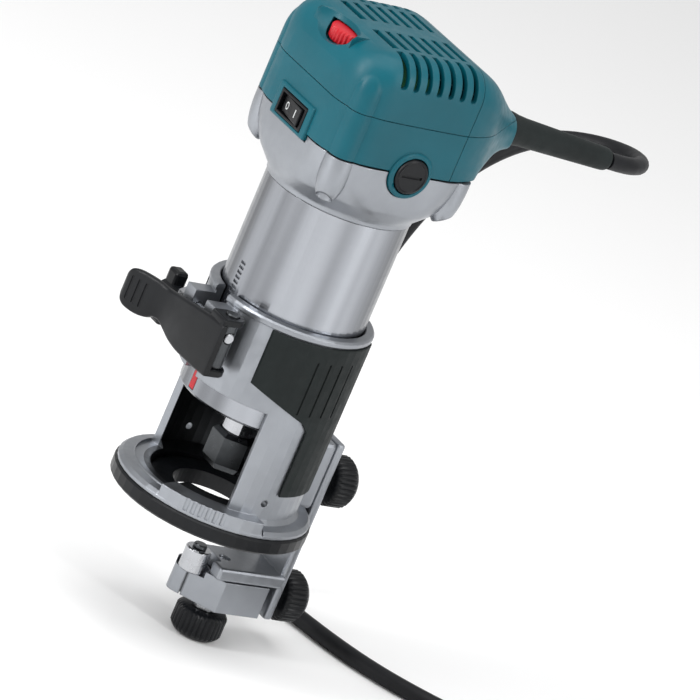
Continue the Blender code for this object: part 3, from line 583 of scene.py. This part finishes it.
def make_knobs():
    """The three knobs of the roller guide, ribbed round the rim."""
    for name, axis in (("holder_knob", "Y"), ("adjust_knob", "Y"), ("arm_knob", "Z")):
        low, high = (Vector(p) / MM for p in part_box(name))
        middle = (low + high) / 2
        if axis == "Y":
            rows = knob_rows(high.y, low.y)
            at = (middle.x, 0, middle.z)
        else:
            rows = knob_rows(low.z, high.z)
            at = (middle.x, middle.y, 0)
        mesh = lathed(rows, KNOB_RIBS, KNOB_RIB_DEPTH, at=at, axis=axis, name=name)
        shown(name + "_ribbed", mesh, BLACK, BODY[name], name)


def make_dial():
    """The speed dial, ribbed round the rim."""
    low, high = (Vector(p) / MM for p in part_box("speed_dial"))
    middle = (low + high) / 2
    r = (high.x - low.x) / 2
    rows = [
        (DIAL_HOLE_R, high.z, 0), (r - 2.0, high.z, 0), (r - 0.8, high.z - 0.3, 0.3),
        (r, high.z - 1.1, 1), (r, low.z + 1.1, 1), (r - 0.8, low.z + 0.3, 0.3),
        (r - 2.0, low.z, 0), (DIAL_HOLE_R, low.z, 0),
    ]
    mesh = lathed(rows, DIAL_RIBS, DIAL_RIB_DEPTH, at=(middle.x, middle.y, 0), name="dial")
    shown("dial_wheel", mesh, RED, BODY["speed_dial"], "speed_dial")


def make_switch_marks():
    """The off ring and the on bar, printed on the two slopes of the rocker."""
    for name, x, y, slope, outline in (
        ("mark_off", -4.1, -40.0, -8.2, "ring"), ("mark_on", 4.2, -41.25, -8.9, "bar"),
    ):
        bm = bmesh.new()
        if outline == "ring":
            turns = [2 * pi * i / RING_STEPS for i in range(RING_STEPS)]
            inner, outer = (
                [bm.verts.new((r * RING_SQUEEZE * cos(a), 0, r * sin(a))) for a in turns]
                for r in RING_R
            )
            for i in range(RING_STEPS):
                j = (i + 1) % RING_STEPS
                bm.faces.new((inner[i], outer[i], outer[j], inner[j]))
        else:
            w, h = BAR_HALF
            around = ((-w, 0, -h), (w, 0, -h), (w, 0, h), (-w, 0, h))
            bm.faces.new([bm.verts.new(p) for p in around])
        thick = bmesh.ops.extrude_face_region(bm, geom=bm.faces[:])
        moved = [v for v in thick["geom"] if isinstance(v, bmesh.types.BMVert)]
        bmesh.ops.translate(bm, vec=(0, -MARK_DEPTH, 0), verts=moved)
        bmesh.ops.recalc_face_normals(bm, faces=bm.faces)
        place = Matrix.Translation(Vector((x, y, MARK_Z)) * MM)
        turn = Matrix.Rotation(radians(slope), 4, "Z")
        bm.transform(place @ turn @ Matrix.Scale(MM, 4))
        mesh = bpy.data.meshes.new(name)
        bm.to_mesh(mesh)
        bm.free()
        shown(name, mesh, WHITE, BODY["power_switch"])


# ---------------------------------------------------------------- housing and collar

GAP = 0.3                  # left between neighbouring pieces
WALL = 2.6                 # thickness of the housing
SEAM_LOW = 179.0           # foot of the rear covers
SEAM_MID = 200.0           # height of the seam between the lower and upper pieces
SEAM_REAR = 21.0           # the seam between the housing and the rear covers, along Y
COLLAR_TOP = 178.2
COLLAR_WALL = 2.4
PILLAR_XY = 30.0           # corner pillars of the housing and lobes of the collar
LOBE_SCREW_XY = 31.04      # recesses under the lobes
BRUSH_Z = 178.5            # axis of the brush caps
HIDDEN_LOW = 171.0         # the housing's skin runs down to here, inside the collar
HOUSING_TOP = 226.8
FAR = 60.0                 # beyond the housing on every side
ABOVE = 240.0              # beyond the housing's top
SMOOTH_STEPS = 4           # rows put in between two rows of a shape
VENTS = 7                  # slots in a row on each side
VENT_FIRST = -20.3
VENT_PITCH = 6.03
VENT_HALF = 1.35
VENT_HALF_FIRST = 1.7      # the foremost slot is a little wider
SHOULDER_VENT = (25.5, FAR, 214.6)     # its inner and outer X, and its foot
CREST_VENT = (5.0, 22.8, 222.0)        # its inner and outer X, and its floor
DIAL_ROOM = (-24.0, 12.6, 215.0, 223.2)    # the dial's pocket: Y, radius, low and high Z
THUMB_SCOOP = (-38.2, 226.6)           # Y and Z of the middle of the scoop before the dial
CORD_EYE = (193.6, 6.3)                # height and radius of the hole for the cord guard
HOUSING_RUN = [
    # y, half width, low, top, corner radius
    (-39.4, 20.0, HIDDEN_LOW, 213.0, 5.0), (-38.2, 26.5, HIDDEN_LOW, 217.5, 8.0),
    (-35.5, 31.5, HIDDEN_LOW, 221.5, 10.0), (-31.0, 35.4, HIDDEN_LOW, 224.5, 12.0),
    (-24.0, 38.0, HIDDEN_LOW, 226.2, 12.0), (-10.0, 38.8, HIDDEN_LOW, HOUSING_TOP, 12.0),
    (12.0, 38.8, HIDDEN_LOW, HOUSING_TOP, 12.0), (22.0, 38.2, HIDDEN_LOW, 226.0, 12.0),
    (31.0, 35.6, HIDDEN_LOW, 222.5, 12.0), (38.5, 31.5, 176.0, 218.5, 12.0),
    (46.0, 25.0, 180.4, 214.0, 11.0), (54.0, 18.0, 183.6, 209.0, 10.0),
    (61.0, 13.0, 185.2, 204.5, 9.0), (66.3, 10.4, 186.2, 201.2, 7.4),
]
COLLAR_RISE = [
    # z, half width, corner radius
    (150.3, 32.9, 32.8), (152.4, 33.4, 33.3), (154.6, 34.6, 32.5), (157.3, 35.8, 30.0),
    (160.0, 36.8, 27.5), (165.0, 37.8, 24.2), (170.0, 38.3, 21.6), (COLLAR_TOP, 38.8, 20.0),
]


def between(rows, steps):
    """Rows of numbers with smooth ones put in between."""
    ends = [rows[0]] + list(rows) + [rows[-1]]
    line = []
    for a, b, c, d in zip(ends, ends[1:], ends[2:], ends[3:]):
        for k in range(steps):
            t = k / steps
            line.append(tuple(
                0.5 * (2 * q + (r - p) * t + (2 * p - 5 * q + 4 * r - u) * t ** 2
                       + (3 * q - p - 3 * r + u) * t ** 3)
                for p, q, r, u in zip(a, b, c, d)))
    return line + [rows[-1]]


def housing_ring(y, half, low, top, corner, inset=0.0):
    """The housing's outline at one place along Y; inset draws it inwards for the hollow."""
    half -= inset
    top = min(top, HOUSING_TOP) - inset
    corner = max(corner - inset, 1.5)
    foot = 4.0 if y < 40 else corner * 0.6
    low = low - 5 * inset if y < 35 else low + inset
    return [(x, y, z) for x, z in rounded(-half, half, low, top, corner, 10, foot)]


def carved(mesh, *steps):
    """Apply (operation, mesh) steps to a mesh in turn, and return the result."""
    obj = placed("cutter", mesh)
    tools = []
    for operation, tool in steps:
        tools.append(placed("cutter", tool))
        step = obj.modifiers.new(operation, "BOOLEAN")
        step.operation = operation
        step.solver = "EXACT"
        step.object = tools[-1]
    bpy.context.view_layer.update()
    done = bpy.data.meshes.new_from_object(obj.evaluated_get(bpy.context.evaluated_depsgraph_get()))
    for old in [obj] + tools:
        bpy.data.objects.remove(old, do_unlink=True)
    return done


def block(low, high, bevel=0.0, turn=None):
    """A box between two corners, its edges rounded off by bevel."""
    bm = bmesh.new()
    bmesh.ops.create_cube(bm, size=1.0)
    bmesh.ops.scale(bm, vec=(Vector(high) - Vector(low)) * MM, verts=bm.verts)
    if bevel:
        bmesh.ops.bevel(bm, geom=bm.edges[:], offset=bevel * MM, segments=3, profile=0.5,
                        affect="EDGES")
    middle = Matrix.Translation((Vector(low) + Vector(high)) / 2 * MM)
    bm.transform(middle @ turn if turn else middle)
    mesh = bpy.data.meshes.new("block")
    bm.to_mesh(mesh)
    bm.free()
    return mesh


def joined(*meshes):
    """Several meshes as one, left as they lie."""
    bm = bmesh.new()
    for mesh in meshes:
        bm.from_mesh(mesh)
    whole = bpy.data.meshes.new("joined")
    bm.to_mesh(whole)
    bm.free()
    return whole


def pillar(sign):
    """A front corner's pillar, which leans in and thins out as it meets the top."""
    rows = between([(178.9, 0, 6.9), (200, 0, 6.9), (210, 0.2, 6.9), (216, 1.4, 6.7),
                    (220, 3.4, 5.8), (222.6, 6.0, 4.2), (223.8, 8.6, 2.2)], SMOOTH_STEPS)
    rings = []
    for z, inward, r in rows:
        c = PILLAR_XY - inward
        rings.append([(sign * c + r * cos(2 * pi * i / 40), -c + r * sin(2 * pi * i / 40), z)
                      for i in range(40)])
    return skinned("pillar", rings)


def vent(y, half, x0, x1, z):
    """A slot across the shoulder with a round lower end."""
    outline = [(y - half, ABOVE), (y - half, z)]
    outline += [(y - half * cos(pi * i / 6), z - half * sin(pi * i / 6)) for i in range(1, 6)]
    outline += [(y + half, z), (y + half, ABOVE)]
    return skinned("vent", [[(x, p, q) for p, q in outline] for x in (x0, x1)])


def vents():
    """Both rows of slots on both sides of the housing, as one cutting mesh."""
    slots = []
    for k in range(VENTS):
        y = VENT_FIRST + VENT_PITCH * k
        half = VENT_HALF if k else VENT_HALF_FIRST
        for sign in (1, -1):
            inner, outer, foot = SHOULDER_VENT
            slots.append(vent(y, half, sign * inner, sign * outer, foot + half))
            inner, outer, foot = CREST_VENT
            slots.append(vent(y, half, sign * inner, sign * outer, foot))
    return joined(*slots)


def make_lower_housing(shell):
    """The front piece under the seam, with the switch's frame and the eyes of the brush caps."""
    steps = [
        ("INTERSECT", block((-FAR, -FAR, SEAM_LOW), (FAR, SEAM_REAR - GAP / 2, SEAM_MID - GAP / 2))),
        ("UNION", block((-14.4, -40.6, 175.6), (14.4, -36.9, 190.5), 0.9)),
        ("DIFFERENCE", block((-10.9, -45, 177.2), (10.9, -30, 188.6), 0.5)),
    ]
    lip = [(AXIS_R, 36.6, 0), (10.4, 36.6, 0), (10.4, 39.5, 0), (9.7, 40.2, 0), (AXIS_R, 40.2, 0)]
    for sign in (1, -1):
        for operation, profile in (("UNION", lip), ("DIFFERENCE", disc(8.4, 30, FAR))):
            rows = [(r, sign * h, share) for r, h, share in profile]
            steps.append((operation, lathed(rows, steps=56, at=(0, 0, BRUSH_Z), axis="X")))
    shown("housing_lower", carved(shell.copy(), *steps), TEAL, "motor", "lower_housing")


def make_upper_housing(shell):
    """The front piece over the seam, with the dial's pocket and scoop and the vents."""
    scoop = [(10.5 * sin(pi * i / 24) + AXIS_R, 15.5 * cos(pi * i / 24), 0) for i in range(25)]
    room_y, room_r, room_low, room_high = DIAL_ROOM
    steps = [
        ("INTERSECT", block((-FAR, -FAR, SEAM_MID + GAP / 2), (FAR, SEAM_REAR - GAP / 2, ABOVE))),
        ("UNION", block((-15, -37, 207), (15, -23, 225.4))),
        ("DIFFERENCE", lathed(scoop, steps=48, at=(0, *THUMB_SCOOP), axis="X")),
        ("DIFFERENCE", lathed(disc(room_r, room_high, room_low), steps=64, at=(0, room_y, 0))),
        ("DIFFERENCE", vents()),
    ]
    shown("housing_upper", carved(shell.copy(), *steps), TEAL, "motor", "upper_housing")


def make_rear_covers(shell):
    """The two rear covers, with the hole for the cord guard between them."""
    eye_z, eye_r = CORD_EYE
    eye = lathed(disc(eye_r, 50, 80), steps=48, at=(0, 0, eye_z), axis="Y")
    for name, cad, low, high in (
        ("cover_lower", "rear_cover_lower", SEAM_LOW, SEAM_MID - GAP / 2),
        ("cover_upper", "rear_cover_upper", SEAM_MID + GAP / 2, ABOVE),
    ):
        part = block((-FAR, SEAM_REAR + GAP / 2, low), (FAR, 80, high))
        cover = carved(shell.copy(), ("INTERSECT", part), ("DIFFERENCE", eye.copy()))
        shown(name, cover, TEAL, "motor", cad)


def make_housing():
    """The teal housing: one smooth hollow shell, divided into its four pieces."""
    rows = between(HOUSING_RUN, SMOOTH_STEPS)
    front, rear = HOUSING_RUN[0][0], HOUSING_RUN[-1][0]
    skin = skinned("skin", [housing_ring(*row) for row in rows])
    inner = [row for row in rows if front + WALL < row[0] < rear - WALL]
    hollow = skinned("hollow", [housing_ring(*row, inset=WALL) for row in inner])
    shell = carved(skin, ("UNION", pillar(1)), ("UNION", pillar(-1)), ("DIFFERENCE", hollow))
    make_lower_housing(shell)
    make_upper_housing(shell)
    make_rear_covers(shell)


def make_collar():
    """The cast collar: round at the tube, square under the housing, with four screw lobes."""
    rows = between(COLLAR_RISE, SMOOTH_STEPS)
    rings = [[(x, y, z) for x, y in rounded(-half, half, -half, half, corner, 14)]
             for z, half, corner in rows]
    skin = skinned("collar skin", rings)
    shrink = []
    for ring, (_, half, _) in zip(rings, rows):
        scale = (half - COLLAR_WALL) / half
        shrink.append([(scale * x, scale * y, z) for x, y, z in ring])
    low = [(x, y, z - 1) for x, y, z in shrink[0]]
    high = [(x, y, z + 1) for x, y, z in shrink[-1]]
    steps = [("DIFFERENCE", skinned("collar hollow", [low] + shrink[1:-1] + [high]))]
    lobe = between([(6.9, COLLAR_TOP, 0), (6.8, 172, 0), (6.2, 166, 0), (4.9, 161, 0),
                    (2.9, 157.4, 0), (0.3, 155.6, 0)], SMOOTH_STEPS)
    for sx, sy in ((1, -1), (1, 1), (-1, 1), (-1, -1)):
        at = (sx * PILLAR_XY, sy * PILLAR_XY, 0)
        seat = (sx * LOBE_SCREW_XY, sy * LOBE_SCREW_XY, 0)
        steps.append(("UNION", lathed(lobe, steps=40, at=at)))
        steps.append(("DIFFERENCE", lathed(disc(3.7, 171.5, 150), steps=36, at=seat)))
    steps.append(("DIFFERENCE", block((-14.8, -45, 175.2), (14.8, -30, 190))))
    for sign in (1, -1):
        room = disc(10.8, sign * 30, sign * FAR)
        steps.append(("DIFFERENCE", lathed(room, steps=56, at=(0, 0, BRUSH_Z), axis="X")))
    shown("collar_casting", carved(skin, *steps), CAST, "motor", "collar")


# ---------------------------------------------------------------- lock lever

LEVER_RUN = [
    # x, front y, back y, low z, high z
    (26.9, -49.0, -47.4, 70.2, 92.2), (26.4, -49.5, -46.8, 69.2, 93.0),
    (22.0, -50.0, -46.9, 68.9, 93.1), (15.0, -50.6, -47.2, 68.9, 92.6),
    (4.0, -51.2, -47.7, 69.0, 91.2), (-4.0, -51.2, -47.7, 70.0, 90.0),
    (-10.0, -51.0, -47.6, 71.6, 89.0), (-15.0, -51.4, -48.1, 73.2, 88.2),
    (-18.5, -52.8, -49.2, 73.2, 88.3), (-21.5, -54.4, -50.6, 71.2, 88.7),
    (-26.0, -56.7, -52.8, 70.2, 88.8), (-31.0, -59.2, -55.4, 70.6, 88.5),
    (-34.0, -59.9, -56.9, 72.0, 87.2), (-35.6, -59.5, -57.9, 74.6, 84.8),
]


LEVER_PIN = (20.0, -42.0)  # the hinge pin's axis
LEVER_PIN_HOLE_R = 3.3
EAR_R = (6.1, 5.6)         # the ears' reach past the pin along X and Y
EAR_LEVELS = ((92.6, 95.6), (69.0, 72.1))
EAR_CHAMFER = 0.5
EAR_FACE_SCALE = 0.93      # size of an ear's flat face against its middle
GRIP_GROOVES = 3
GRIP_SLOPE = radians(26.5)


def lever_ear(low, high):
    """A lug of the lever round the hinge pin, between two heights."""
    hx, hy = LEVER_PIN
    arc = [(hx + EAR_R[0] * cos(pi * i / 14), hy + EAR_R[1] * sin(pi * i / 14)) for i in range(15)]
    outline = [(26.3, -48.4)] + arc + [(14.4, -48.4)]
    rings = [[(hx + (x - hx) * scale, hy + (y - hy) * scale, z) for x, y in outline]
             for z, scale in ((low, EAR_FACE_SCALE), (low + EAR_CHAMFER, 1),
                              (high - EAR_CHAMFER, 1), (high, EAR_FACE_SCALE))]
    hole = lathed(disc(LEVER_PIN_HOLE_R, low - 1, high + 1), steps=40, at=(hx, hy, 0))
    return carved(skinned("ear", rings), ("DIFFERENCE", hole))


def make_lever():
    """The lock lever: a curved panel with grip grooves, two hinge ears and a bridge."""
    rings = []
    for x, front, back, low, high in between(LEVER_RUN, SMOOTH_STEPS):
        r = min(1.25, (back - front) / 2 - 0.05)
        rings.append([(x, y, z) for y, z in rounded(front, back, low, high, r, 5)])
    turn = Matrix.Rotation(GRIP_SLOPE, 4, "Z")
    grooves = []
    for k in range(GRIP_GROOVES):
        x = -24.2 - 3.3 * k
        y = -56.6 - 1.65 * k
        grooves.append(block((x - 0.7, y - 1.4, 74), (x + 0.7, y + 1.3, 85), 0.4, turn))
    panel = carved(skinned("panel", rings), ("DIFFERENCE", joined(*grooves)))
    ears = [lever_ear(low, high) for low, high in EAR_LEVELS]
    bridge = block((15.0, -49.6, 88), (26.2, -46.9, 95.4), 0.8)
    lever = carved(panel, ("UNION", ears[0]), ("UNION", ears[1]), ("UNION", bridge))
    shown("lever", lever, BLACK, "lever", "lock_lever")


dress_nodes()
make_cord()
make_guard()
make_housing()
make_collar()
make_lever()
make_knobs()
make_dial()
make_switch_marks()
